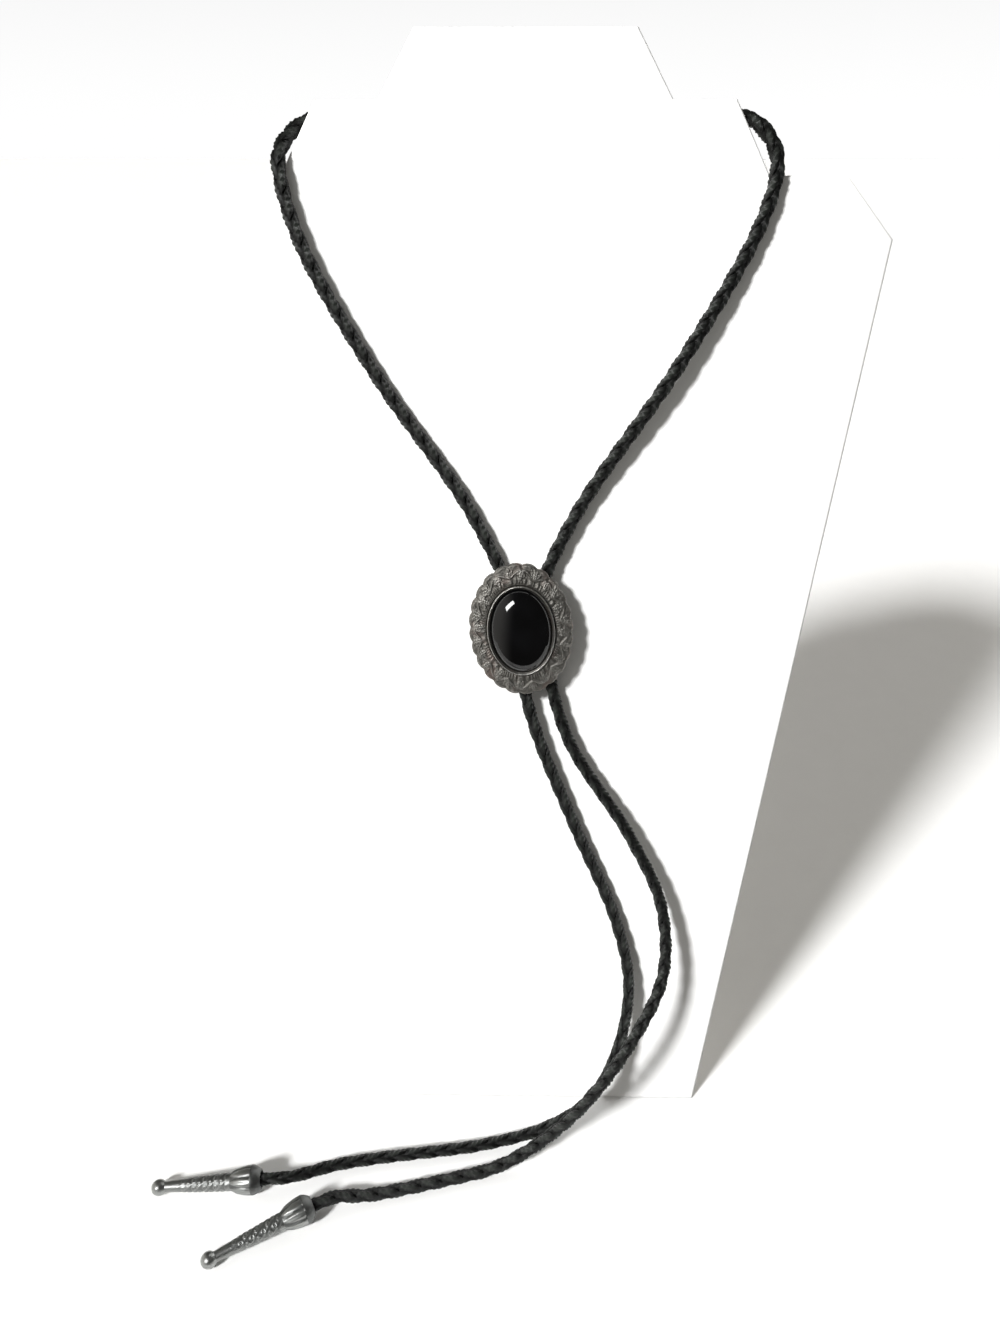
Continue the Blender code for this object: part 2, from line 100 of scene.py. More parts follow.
def smooth_route(points, steps):
    """A centripetal Catmull-Rom curve through the points, kept half a cord above the table."""
    ends = np.vstack([2 * points[0] - points[1], points, 2 * points[-1] - points[-2]])
    curve = []
    for p0, p1, p2, p3 in zip(ends, ends[1:], ends[2:], ends[3:]):
        gaps = np.sqrt(np.linalg.norm([p1 - p0, p2 - p1, p3 - p2], axis=1))
        t0, t1, t2, t3 = 0, gaps[0], gaps[0] + gaps[1], gaps.sum()
        for t in np.linspace(t1, t2, steps, endpoint=False):
            a1 = p0 + (p1 - p0) * (t - t0) / (t1 - t0)
            a2 = p1 + (p2 - p1) * (t - t1) / (t2 - t1)
            a3 = p2 + (p3 - p2) * (t - t2) / (t3 - t2)
            b1 = a1 + (a2 - a1) * (t - t0) / (t2 - t0)
            b2 = a2 + (a3 - a2) * (t - t1) / (t3 - t1)
            curve.append(b1 + (b2 - b1) * (t - t1) / (t2 - t1))
    curve = np.array([*curve, points[-1]])
    half_cord = LACE_MIDDLE + LACE_WEAVE + LACE_THICKNESS / 2 + CROWN_OUT * LACE_CROWN
    curve[:, 2] = np.maximum(curve[:, 2], half_cord)
    return curve


def even_steps(line, count):
    """Points at even steps along a line, and how far along each one is."""
    run = np.concatenate([[0], np.cumsum(np.linalg.norm(np.diff(line, axis=0), axis=1))])
    at = np.linspace(0, run[-1], count)
    return np.stack([np.interp(at, run, line[:, k]) for k in range(3)], 1), at


def loft(grid, first):
    """Faces over a grid of rings of points, numbered from first on, and its first and last ring."""
    rows, columns = grid.shape[:2]
    number = np.arange(rows * columns).reshape(rows, columns) + first
    number = np.hstack([number, number[:, :1]])
    quads = np.stack([number[:-1, :-1], number[:-1, 1:], number[1:, 1:], number[1:, :-1]], -1)
    head, tail = number[0, :columns].tolist(), number[-1, :columns].tolist()
    return quads.reshape(-1, 4).tolist(), head, tail


def mesh_piece(name, points, faces, finish, sharp=radians(60), **shades):
    """A smooth mesh piece that rides on the display, with numbers for its finish at each point."""
    mesh = bpy.data.meshes.new(name)
    mesh.from_pydata(points.reshape(-1, 3).tolist(), [], faces)
    mesh.shade_smooth()
    mesh.set_sharp_from_angle(angle=sharp)
    for shade, values in shades.items():
        layer = mesh.attributes.new(shade, "FLOAT", "POINT")
        layer.data.foreach_set("value", np.asarray(values, np.float32).ravel())
    mesh.materials.append(finish)
    piece = bpy.data.objects.new(name, mesh)
    bpy.context.collection.objects.link(piece)
    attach(piece, "root")
    return piece


class Tone:
    """One socket of a finish. Sums and products of tones add Math nodes to it."""

    def __init__(self, tree, socket=None):
        self.tree = tree
        self.socket = socket

    def node(self, kind, settings=None, sockets=None, output=0):
        """Any other node: its settings are made first, then its sockets are set or linked."""
        made = self.tree.nodes.new(kind)
        for name, value in (settings or {}).items():
            setattr(made, name, value)
        for name, value in (sockets or {}).items():
            self.connect(made.inputs[name], value)
        return Tone(self.tree, made.outputs[output])

    def connect(self, target, value):
        if isinstance(value, Tone):
            self.tree.links.new(value.socket, target)
        else:
            target.default_value = value

    def maths(self, operation, first, second):
        return self.node("ShaderNodeMath", {"operation": operation}, {0: first, 1: second})

    def __add__(self, other):
        return self.maths("ADD", self, other)

    def __radd__(self, other):
        return self.maths("ADD", other, self)

    def __sub__(self, other):
        return self.maths("SUBTRACT", self, other)

    def __rsub__(self, other):
        return self.maths("SUBTRACT", other, self)

    def __mul__(self, other):
        return self.maths("MULTIPLY", self, other)

    def __rmul__(self, other):
        return self.maths("MULTIPLY", other, self)

    def step(self, low, high):
        """0 below low, 1 above high and smooth between."""
        return self.node(
            "ShaderNodeMapRange", {"interpolation_type": "SMOOTHSTEP"}, {0: self, 1: low, 2: high}
        )

    def blend(self, first, second):
        """From the first colour to the second by this tone, in Mix's numbered colour sockets."""
        return self.node("ShaderNodeMix", {"data_type": "RGBA"}, {0: self, 6: first, 7: second}, 2)

    def noise(self, place, scale, detail, stretch=(1, 1, 1)):
        stretched = self.node(
            "ShaderNodeVectorMath", {"operation": "MULTIPLY"}, {0: place, 1: stretch}
        )
        return self.node(
            "ShaderNodeTexNoise", {}, {"Vector": stretched, "Scale": scale, "Detail": detail}
        )

    def bump(self, height, depth, strength=1.0):
        return self.node(
            "ShaderNodeBump", {}, {"Height": height, "Distance": depth, "Strength": strength}
        )

    def shade(self, name):
        """One of the numbers that a piece's mesh carries at its points."""
        return self.node("ShaderNodeAttribute", {"attribute_name": name}, output="Fac")


def new_finish(name, metallic=0.0, **constants):
    """A Principled finish: its material, a tone to build with, places in metres and its sockets."""
    material = bpy.data.materials.new(name)
    material.use_nodes = True
    shader = material.node_tree.nodes["Principled BSDF"]
    shader.inputs["Metallic"].default_value = metallic
    for socket, value in constants.items():
        shader.inputs[socket.replace("_", " ")].default_value = value
    tone = Tone(material.node_tree)
    place = tone.node("ShaderNodeTexCoord", output="Object")
    return material, tone, place, shader.inputs


def rgb(red, green, blue):
    return (red, green, blue, 1)


# The braid is dyed black and rubbed lighter on each lace's crest. The dye black also stands for
# painted shade at the lace edges and where a lace dips under its neighbour.
DYED_AND_SHADED_BLACK = rgb(0.003, 0.0033, 0.003)
WORN_BLACK = rgb(0.025, 0.028, 0.025)

leather, tone, place, sockets = new_finish("braided_leather", Specular_IOR_Level=0.33)
crest = tone.shade("crest")
scuffs = tone.noise(place, scale=330, detail=4)
grain = tone.noise(place, scale=2600, detail=3)
wear_and_shade = (crest.step(0.3, 1.0) * (0.3 + scuffs)).step(0.3, 1.0)
tone.connect(sockets["Base Color"], wear_and_shade.blend(DYED_AND_SHADED_BLACK, WORN_BLACK))
tone.connect(sockets["Roughness"], 0.5 - 0.14 * wear_and_shade + 0.16 * (scuffs - 0.5))
tone.connect(sockets["Normal"], tone.bump(0.7 * grain + 0.5 * scuffs, depth=0.00012))

cord_line = smooth_route(CORD_ROUTE, STEPS_A_STRETCH)
into_left = unit(cord_line[0] - cord_line[1]) * CORD_IN_TIP
into_right = unit(cord_line[-1] - cord_line[-2]) * CORD_IN_TIP
cord_line = np.vstack([cord_line[0] + into_left, cord_line, cord_line[-1] + into_right])
cord_length = np.linalg.norm(np.diff(cord_line, axis=0), axis=1).sum()
middle, along = even_steps(cord_line, int(cord_length / BRAID_PITCH * STEPS_A_PITCH))
for _ in range(SMOOTHINGS):
    middle[1:-1] = (middle[:-2] + 2 * middle[1:-1] + middle[2:]) / 4
ahead = unit(np.gradient(middle, axis=0))
across = [unit(np.cross(ahead[0], (0, 0, 1)))]
for heading in ahead[1:]:
    across.append(unit(across[-1] - heading * np.dot(across[-1], heading)))
across = np.array(across)
upward = np.cross(ahead, across)


def lace(turn, start):
    """One lace of the braid: it winds round the cord, over and under the laces that it meets."""
    angle = turn * 2 * pi * along / BRAID_PITCH + start
    points, crests = [], []
    for corner in np.linspace(0, 2 * pi, LACE_CORNERS, endpoint=False):
        u, v = cos(corner), sin(corner)
        spot = angle + u * LACE_HALF_WRAP
        over = turn * np.cos(2 * spot)
        lift = LACE_THICKNESS / 2 * np.sign(v) * abs(v) ** LACE_SQUARENESS
        crown = LACE_CROWN * (cos(pi / 2 * u) - 1 + CROWN_OUT)
        radius = LACE_MIDDLE + LACE_WEAVE * over + crown + lift
        outward = across * np.cos(spot)[:, None] + upward * np.sin(spot)[:, None]
        points.append(middle + outward * radius[:, None])
        # This number is 1 on a lace's middle, where it wears. It falls at the lace's edges and
        # where it dips under a crossing lace, which is painted shade.
        crests.append(np.clip(max(v, 0) * (0.65 + 0.35 * over), 0, 1))
    return np.stack(points, 1), np.stack(crests, 1)


braid_points, braid_faces, braid_crests, first = [], [], [], 0
for turn in (1, -1):
    for start in (0, pi):
        grid, crests = lace(turn, start)
        faces, head, tail = loft(grid, first)
        braid_faces += [*faces, head[::-1], tail]
        braid_points.append(grid.reshape(-1, 3))
        braid_crests.append(crests.ravel())
        first += grid.shape[0] * grid.shape[1]
braid = mesh_piece(
    "cord_braid", np.vstack(braid_points), braid_faces, leather, crest=np.concatenate(braid_crests)
)
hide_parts("cord")


# Slide plate: an oval casting in antique pewter with a scalloped edge, a raised running vine and a
# bezel for the stone. It is dark in the hollows and rubbed bright on the high places.
BOARD_THICKNESS = 0.004
BOARD_LEAN = radians(12)
PIECE_GAP = 0.0003
CHANNEL_RADIUS = 0.0028
SLIDE_ACROSS = 0.0002
SLIDE_UP = 0.1726
SLIDE_TURN = radians(6)
PLATE_HALF = np.array([0.0313, 0.0407]) / 2
STONE_HALF = np.array([0.018, 0.025]) / 2
PLATE_EDGE = 0.0013
PLATE_ROUND = 0.00025
SCALLOPS = 24
SCALLOP_DEPTH = 0.0006
SCALLOP_RISE = 0.0004
SCALLOP_POINTS = 28
MOUND_RISE = 0.0007
BAND_RINGS = 56
GROOVE_WIDTH = 0.0007
GROOVE_DEPTH = 0.0006
BEZEL_WALL = 0.0005
BEZEL_RISE = 0.0013
SEAT_FLOOR = 0.0011
RIM_WALL = 0.00085
SEAT_LEDGE = 0.00008
RIM_PROFILE = (  # in from the rim's outside, down from its top, and how much it is rubbed
    (0, 0.0003, 1), (0.00006, 0.00012, 1.4), (0.00018, 0.00002, 1.6), (0.0003, 0, 1.6),
    (0.00042, 0.0001, 1.4), (0.0005, 0.00034, 0.3),
)
BAND_MIDDLE = 0.42
VINE_RISE = 0.0005
VINE_WAVE = 0.0009
STEM_WIDTH = 0.0013
LEAF_ALONG = 0.0011
LEAF_ACROSS = 0.0040
LEAF_FAN = radians(38)
SIDE_LEAF = 0.8
MIDRIB_WIDTH = 0.0004
VEIN_PITCH = 0.0008
STROKES_FROM = 0.64
STROKES_A_SCALLOP = 3
FLUTES_A_SCALLOP = 3
OVAL_STEPS = 8000
CAST_SEED = 11

slide_off = 2 * PIECE_GAP + 2 * CHANNEL_RADIUS
display_place = (
    Matrix.Translation((0, -BOARD_THICKNESS / cos(BOARD_LEAN) / 2, 0))
    @ Matrix.Rotation(-BOARD_LEAN, 4, "X")
)
slide_place = (
    display_place
    @ Matrix.Translation((SLIDE_ACROSS, -slide_off, SLIDE_UP))
    @ Matrix.Rotation(-SLIDE_TURN, 4, "Y")
    @ Matrix.Rotation(pi / 2, 4, "X")
)


def moved(points, matrix):
    """Points of a piece made flat or upright at the origin, put in their place."""
    turn = np.array(matrix.to_3x3())
    return points @ turn.T + np.array(matrix.translation)


def ridge(distance, width):
    """1 on a ridge's middle, falling smoothly to 0 at half its width."""
    return (1 - np.clip(np.abs(distance) / (width / 2), 0, 1) ** 2) ** 2


uneven = np.random.default_rng(CAST_SEED)
leaf_turns = uneven.uniform(-0.4, 0.4, SCALLOPS)
leaf_sizes = uneven.uniform(0.8, 1.15, SCALLOPS)
lobe_sizes = uneven.uniform(0.55, 1.25, SCALLOPS + 1)
lobe_sizes[-1] = lobe_sizes[0]
fine = np.linspace(0, 2 * pi, OVAL_STEPS + 1)
oval = np.stack([PLATE_HALF[0] * np.sin(fine), PLATE_HALF[1] * np.cos(fine)], 1)
oval_run = np.concatenate([[0], np.cumsum(np.linalg.norm(np.diff(oval, axis=0), axis=1))])
ring_count = SCALLOPS * SCALLOP_POINTS
ring_angles = np.interp(np.arange(ring_count) / ring_count * oval_run[-1], oval_run, fine)
ring_turns = np.arange(ring_count) / SCALLOP_POINTS
ring_way = np.stack([np.sin(ring_angles), np.cos(ring_angles)], 1)
lobes = np.abs(np.cos(pi * ring_turns))
lobe_size = lobe_sizes[np.round(ring_turns).astype(int)]
ring_bend = np.floor(ring_turns).astype(int)
in_bend = ring_turns - ring_bend - 0.5
seat_half = STONE_HALF + PIECE_GAP
rim_half = seat_half + RIM_WALL
groove_half = seat_half + BEZEL_WALL + GROOVE_WIDTH
band_top = PLATE_EDGE + MOUND_RISE


def plate_outline(inset, height):
    """The plate's scalloped outline, pulled in by an inset, at a height above its back."""
    shrink = inset + SCALLOP_DEPTH * np.minimum(1, (1 - lobes) ** 1.3 + 0.25 * (1.25 - lobe_size))
    flat = (PLATE_HALF - shrink[:, None]) * ring_way
    return np.hstack([flat, np.full((ring_count, 1), height)])


def oval_ring(half, height):
    return np.hstack([half * ring_way, np.full((ring_count, 1), height)])


def band_ring(share):
    """One ring of the band, from the edge at share 0 to the groove at share 1, with its relief."""
    edge, inner = plate_outline(PLATE_ROUND, 0), oval_ring(groove_half, 0)
    width = np.linalg.norm(edge - inner, axis=1)
    cell = np.linalg.norm(edge, axis=1) * 2 * pi / SCALLOPS
    off_middle = (BAND_MIDDLE - share) * width
    side = np.where(ring_bend % 2 == 0, 1, -1)
    stem = ridge(off_middle - VINE_WAVE * np.sin(pi * ring_turns), STEM_WIDTH)
    beside, up = in_bend * cell, -side * off_middle + 1.15 * VINE_WAVE
    relief = 0.7 * stem
    for fan in (-1, 1, 0):
        tilt = leaf_turns[ring_bend] + fan * LEAF_FAN
        size = leaf_sizes[ring_bend] * (SIDE_LEAF if fan else 1)
        a = beside * np.cos(tilt) - up * np.sin(tilt)
        b = up * np.cos(tilt) + beside * np.sin(tilt)
        reach = np.clip(2 * b / (LEAF_ACROSS * size) - 1, -1, 1)
        half_width = LEAF_ALONG * size * (1 - reach ** 2) ** 0.7 * (1 - 0.35 * reach)
        leaf = np.clip(1 - (a / np.maximum(half_width, 1e-5)) ** 2, 0, 1) ** 0.6
        veins = 0.5 + 0.5 * np.cos(2 * pi * (b - 0.7 * np.abs(a)) / VEIN_PITCH)
        leaf = leaf * (1 - 0.3 * ridge(a, MIDRIB_WIDTH) - 0.2 * veins) * (SIDE_LEAF if fan else 1)
        relief = np.maximum(relief, leaf)
    fade = min(1.0, share / 0.16, (1 - share) / 0.06)
    strokes_in = min(1.0, max(0.0, (share - STROKES_FROM) / 0.1), max(0.0, (0.97 - share) / 0.06))
    swing = STROKES_A_SCALLOP * ring_turns + 0.8 * np.sin(2.3 * ring_turns)
    strokes = 0.5 + 0.5 * np.cos(2 * pi * swing)
    relief = np.maximum(relief, 0.62 * strokes * strokes_in * leaf_sizes[ring_bend]) * fade
    flutes = 0.5 + 0.5 * np.cos(2 * pi * ring_turns * FLUTES_A_SCALLOP)
    shell = lobes ** 0.7 * lobe_size * max(0.0, 1 - share / 0.32) * min(1.0, share / 0.07)
    rise = MOUND_RISE * sin(pi / 2 * share) + SCALLOP_RISE * shell * (0.8 + 0.2 * flutes)
    ring = edge + (inner - edge) * share
    ring[:, 2] = PLATE_EDGE + rise + VINE_RISE * relief
    return ring, np.maximum(relief, 0.75 * shell * (0.7 + 0.3 * flutes))


dark = np.zeros(ring_count)
# The plate's edge runs from darkest at its back to lighter near its face.
rings = [
    (plate_outline(PLATE_ROUND, 0), dark),
    (plate_outline(0, PLATE_ROUND), dark + 0.3),
    (plate_outline(0, PLATE_EDGE - PLATE_ROUND), dark + 0.6),
]
rings += [band_ring(k / BAND_RINGS) for k in range(BAND_RINGS + 1)]
rim_top = band_top + BEZEL_RISE
rings += [
    (oval_ring(groove_half - 0.0001, band_top - 0.7 * GROOVE_DEPTH), dark),
    (oval_ring(rim_half + SEAT_LEDGE, band_top - GROOVE_DEPTH), dark),
    (oval_ring(rim_half, band_top - 0.4 * GROOVE_DEPTH), dark + 0.2),
]
for inset, drop, rub in RIM_PROFILE:
    rings.append((oval_ring(rim_half - inset, rim_top - drop), dark + rub))
rings += [
    (oval_ring(seat_half + SEAT_LEDGE, rim_top - 0.0004), dark + 0.1),
    (oval_ring(seat_half, rim_top - 0.0005), dark),
    (oval_ring(seat_half, SEAT_FLOOR), dark),
]
grid = np.stack([ring for ring, _ in rings])
faces, head, tail = loft(grid, 0)

HOLLOW_GREY, HOLLOW_BROWN = rgb(0.205, 0.198, 0.182), rgb(0.245, 0.200, 0.180)
BARE_PEWTER, RIM_PEWTER = rgb(0.40, 0.39, 0.365), rgb(0.62, 0.61, 0.58)

pewter, tone, place, sockets = new_finish("antique_pewter", metallic=1.0)
height = tone.shade("height")
patches = tone.noise(place, scale=170, detail=4)
speckle = tone.noise(place, scale=1300, detail=3)
rubbed = (height + 0.7 * (patches - 0.5) + 0.5 * (speckle - 0.5)).step(0.0, 1.3)
hollow = patches.step(0.5, 0.68).blend(HOLLOW_GREY, HOLLOW_BROWN)
polished = height.step(1.1, 1.5)
bare = polished.blend(BARE_PEWTER, RIM_PEWTER)
tone.connect(sockets["Base Color"], rubbed.blend(hollow, bare))
tone.connect(sockets["Roughness"], 0.58 - 0.16 * rubbed - 0.1 * polished + 0.1 * (speckle - 0.5))
tone.connect(sockets["Normal"], tone.bump(speckle + 0.8 * patches, depth=0.0002))
setting = mesh_piece(
    "slide_plate", moved(grid.reshape(-1, 3), slide_place), [*faces, head[::-1], tail], pewter,
    height=np.stack([shade for _, shade in rings]),
)
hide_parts("slide_setting")


# Stone: an oval cabochon of polished black onyx, 25 by 18 mm, flat behind and domed in front. It
# is set in the bezel, whose rim stands round its girdle.
STONE_GIRDLE = 0.0013
STONE_DOME = 0.0042
STONE_RINGS = 28
STONE_POINTS = 112
ONYX_BLACK, ONYX_CLOUD = rgb(0.0005, 0.0005, 0.0006), rgb(0.002, 0.002, 0.0024)

onyx, tone, place, sockets = new_finish("polished_onyx", IOR=1.54)
cloud = tone.noise(place, scale=90, detail=3)
tone.connect(sockets["Base Color"], cloud.step(0.35, 0.75).blend(ONYX_BLACK, ONYX_CLOUD))
tone.connect(sockets["Roughness"], 0.035 + 0.03 * cloud)
around = np.linspace(0, 2 * pi, STONE_POINTS, endpoint=False)
stone_way = np.stack([np.sin(around), np.cos(around)], 1)
stone_base = SEAT_FLOOR + PIECE_GAP
levels = [(1.0, stone_base), (1.0, stone_base + STONE_GIRDLE)]
for k in range(STONE_RINGS - 1, 0, -1):
    bend = pi / 2 * k / STONE_RINGS
    levels.append((sin(bend), stone_base + STONE_GIRDLE + STONE_DOME * cos(bend)))
grid = np.stack([
    np.hstack([stone_way * STONE_HALF * share, np.full((STONE_POINTS, 1), level)])
    for share, level in levels
])
faces, head, tail = loft(grid, 0)
peak = STONE_POINTS * len(levels)
points = np.vstack([grid.reshape(-1, 3), [(0, 0, stone_base + STONE_GIRDLE + STONE_DOME)]])
cap = [(a, b, peak) for a, b in zip(tail, tail[1:] + tail[:1])]
stone = mesh_piece("cabochon", moved(points, slide_place), [*faces, head[::-1], *cap], onyx)
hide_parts("stone")


# Clip: plain steel behind the plate, with two channels that grip the cord. The metal is drawn, so
# that fine lines run across it. Its solid has the right shape and only gets the finish.
DULL_STEEL, BRIGHT_STEEL = rgb(0.42, 0.42, 0.41), rgb(0.60, 0.60, 0.585)


def refinish(node, finish):
    nodes[node].data.materials.clear()
    nodes[node].data.materials.append(finish)


clip_steel, tone, place, sockets = new_finish("clip_steel", metallic=1.0)
drawn = tone.noise(place, scale=900, detail=3, stretch=(0.15, 1, 1))
tone.connect(sockets["Base Color"], drawn.step(0.3, 0.7).blend(DULL_STEEL, BRIGHT_STEEL))
tone.connect(sockets["Roughness"], 0.28 + 0.2 * drawn)
tone.connect(sockets["Normal"], tone.bump(drawn, depth=0.00003))
refinish("slide_clip", clip_steel)


# Tips: cast pewter ends pushed on the cord's two ends. Each has a petalled bell with a rounded rim
# at its mouth, a tapering shank with raised scrolls and a plain ball. They lie on the table.
BALL = 0.0025
TIP_LENGTH = 0.0355
RIM = 0.0045
RIM_HEIGHT = 0.003
BELL_LENGTH = 0.0098
RIM_STEP = 0.0004
SHANK_THICK = 0.0027
SHANK_THIN = 0.0016
MOUTH = 0.0028
MOUTH_DEPTH = 0.0025
PETALS = 8
PETAL_RISE = 0.00042
SCROLLS_AROUND = 5
SCROLL_ROWS = 12
SCROLL_RISE = 0.00018
TIP_HEADINGS = {"tip_left": radians(183.3), "tip_right": radians(209.8)}
TIP_POINTS = 80
RIM_LEVELS = (0.08, 0.2, 0.35, 0.55, 0.75, 0.9, 0.999)
BELL_RINGS = 26
SHANK_RINGS = 120
BALL_RINGS = 16
TIP_HOLLOW, TIP_BARE = rgb(0.145, 0.150, 0.147), rgb(0.38, 0.39, 0.38)

bright, tone, place, sockets = new_finish("bright_pewter", metallic=1.0)
height = tone.shade("height")
patches = tone.noise(place, scale=190, detail=3)
speckle = tone.noise(place, scale=1500, detail=3)
rubbed = (height + 0.25 * (patches - 0.5) + 0.15 * (speckle - 0.5)).step(0.0, 1.0)
tone.connect(sockets["Base Color"], rubbed.blend(TIP_HOLLOW, TIP_BARE))
tone.connect(sockets["Roughness"], 0.52 - 0.16 * rubbed + 0.08 * (speckle - 0.5))
tone.connect(sockets["Normal"], tone.bump(speckle + 0.5 * patches, depth=0.00006))

tip_around = np.linspace(0, 2 * pi, TIP_POINTS, endpoint=False)


def tip_ring(level):
    """The radius round a tip at a level above its mouth, and how much it is rubbed there."""
    ball_at = TIP_LENGTH - BALL
    neck_level = ball_at - np.sqrt(BALL ** 2 - SHANK_THIN ** 2)
    even = np.ones(TIP_POINTS)
    if level >= neck_level:
        return even * np.sqrt(max(0.0, BALL ** 2 - (level - ball_at) ** 2)), 0.95 * even
    if level < RIM_HEIGHT:
        flare = cos(pi / 2 * (1 - level / RIM_HEIGHT)) ** 0.9
        return even * (MOUTH + (RIM - MOUTH) * flare), 0.2 * even
    if level < BELL_LENGTH:
        share = (BELL_LENGTH - level) / (BELL_LENGTH - RIM_HEIGHT)
        radius = SHANK_THICK + (RIM - RIM_STEP - SHANK_THICK) * sin(pi / 2 * share)
        petal = np.mod(tip_around * PETALS / (2 * pi) + 0.5, 1) - 0.5
        spread = 0.5 * sin(pi * min(1.0, 0.06 + 0.66 * share)) ** 0.8
        leaf = np.clip(1 - (np.abs(petal) / spread) ** 2, 0, 1) ** 0.6
        hollow = 0.4 * ridge(petal, 0.5 * spread) * min(1.0, 3 * (1 - share))
        rise = PETAL_RISE * (leaf - hollow) * min(1.0, 4 * share)
        return radius + rise, 0.2 + 0.75 * leaf * (1 - hollow)
    share = (level - BELL_LENGTH) / (neck_level - BELL_LENGTH)
    radius = SHANK_THICK + (SHANK_THIN - SHANK_THICK) * share
    turns = tip_around / (2 * pi)
    row = share * SCROLL_ROWS
    spot = np.mod(turns * SCROLLS_AROUND + 0.5 * np.floor(row), 1) - 0.5
    curl = np.hypot(spot * 1.3, (row % 1) - 0.5)
    stalk = ridge(np.mod(turns * SCROLLS_AROUND + row / 2, 1) - 0.5, 0.4)
    scroll = np.maximum(0.7 * stalk, np.maximum(ridge(curl - 0.32, 0.3), ridge(curl, 0.26)))
    fade = min(1.0, 12 * share, max(0.0, 3.4 * (0.86 - share)))
    rub = 0.4 + 0.45 * scroll * fade + 0.25 * (1 - fade)
    return radius + SCROLL_RISE * scroll * fade, rub


def make_tip(name, mouth, heading):
    """A tip that lies on its rim and ball, from its mouth at the cord's end towards a heading."""
    slope = asin((RIM - BALL) / (TIP_LENGTH - BALL - RIM_HEIGHT))
    axis = Vector((cos(heading) * cos(slope), sin(heading) * cos(slope), -sin(slope)))
    turn = Matrix.Rotation(heading, 4, "Z") @ Matrix.Rotation(pi / 2 + slope, 4, "Y")
    above_table = RIM / cos(slope) + RIM_HEIGHT * sin(slope)
    start = Vector((mouth[0], mouth[1], above_table)) + axis * PIECE_GAP
    levels = np.concatenate([
        [0], RIM_HEIGHT * np.array(RIM_LEVELS),
        np.linspace(RIM_HEIGHT + 0.0001, BELL_LENGTH - 0.0001, BELL_RINGS),
        np.linspace(BELL_LENGTH, TIP_LENGTH - 2 * BALL + 0.0004, SHANK_RINGS),
        TIP_LENGTH - BALL - BALL * np.cos(np.linspace(0.62, pi - 0.12, BALL_RINGS)),
    ])
    inside = np.zeros(TIP_POINTS)
    tip_rings = [(MOUTH_DEPTH, MOUTH - 0.0005, inside), (0.0, MOUTH - 0.0004, inside)]
    tip_rings += [(level, *tip_ring(level)) for level in levels]
    grid = np.stack([
        np.stack([radius * np.cos(tip_around), radius * np.sin(tip_around), inside + level], 1)
        for level, radius, _ in tip_rings
    ])
    faces, head, tail = loft(grid, 0)
    placed = moved(grid.reshape(-1, 3), Matrix.Translation(start) @ turn)
    tip = mesh_piece(
        name + "_cast", placed, [*faces, head[::-1], tail], bright,
        height=np.stack([rub for _, _, rub in tip_rings]),
    )
    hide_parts(name)
    return tip


tips = [
    make_tip("tip_left", CORD_ROUTE[0], TIP_HEADINGS["tip_left"]),
    make_tip("tip_right", CORD_ROUTE[-1], TIP_HEADINGS["tip_right"]),
]


# Display board and its easel leg: stiff card covered with white paper, die cut in steps for
# necklaces. The cover rounds the board's front edges, which shows as a thin grey line along them.
# The leg is glued on behind by its tab and folds out to the table.
BOARD_WIDTH = 0.203
BOARD_HEIGHT = 0.3335
BOARD_CORNERS = (  # half widths and heights on the right, as shares of the board's
    (0.308, 0), (0.5, 0.8456), (0.431, 0.8936), (0.3276, 0.8936), (0.2783, 0.949),
    (0.1946, 0.949), (0.1453, 1),
)
COVER_ROUND = 0.0012
COVER_STEPS = 8
BACK_ROUND = 0.0003
FLAT_RIM = 0.0005
CARD_WHITE, CARD_SHADE = rgb(0.88, 0.88, 0.875), rgb(0.84, 0.84, 0.835)
right = [(half * BOARD_WIDTH, share * BOARD_HEIGHT) for half, share in BOARD_CORNERS]


def white_card(name):
    card, tone, place, sockets = new_finish(name, Specular_IOR_Level=0.35)
    fibre = tone.noise(place, scale=900, detail=4)
    marks = tone.noise(place, scale=35, detail=3)
    tone.connect(sockets["Base Color"], marks.step(0.3, 0.75).blend(CARD_SHADE, CARD_WHITE))
    tone.connect(sockets["Roughness"], 0.44 + 0.14 * fibre)
    tone.connect(sockets["Normal"], tone.bump(fibre, depth=0.00006, strength=0.5))
    return card


def both_sides(corners):
    """The right side's corners, from the foot up, and then the left side's, down to the foot."""
    return corners + [(-x, y) for x, y in reversed(corners)]


def inset_outline(corners, inset):
    """The outline, counter-clockwise, with each side moved inwards."""
    corners = np.array(corners)
    sides = unit(np.roll(corners, -1, axis=0) - corners)
    inward = np.stack([-sides[:, 1], sides[:, 0]], 1)
    moved_in = []
    for k in range(len(corners)):
        turn = np.array([inward[k - 1], inward[k]])
        moved_in.append(corners[k] + np.linalg.solve(turn, (inset, inset)))
    return np.array(moved_in)


def board_outline(depth, inset):
    """The board's outline at a depth behind its front, pulled in by an inset, foot on the table."""
    (foot_half, _), (next_half, next_height) = right[:2]
    foot = depth * tan(BOARD_LEAN)
    corners = [(foot_half + (next_half - foot_half) * foot / next_height, foot), *right[1:]]
    return np.insert(inset_outline(both_sides(corners), inset), 1, depth, axis=1)


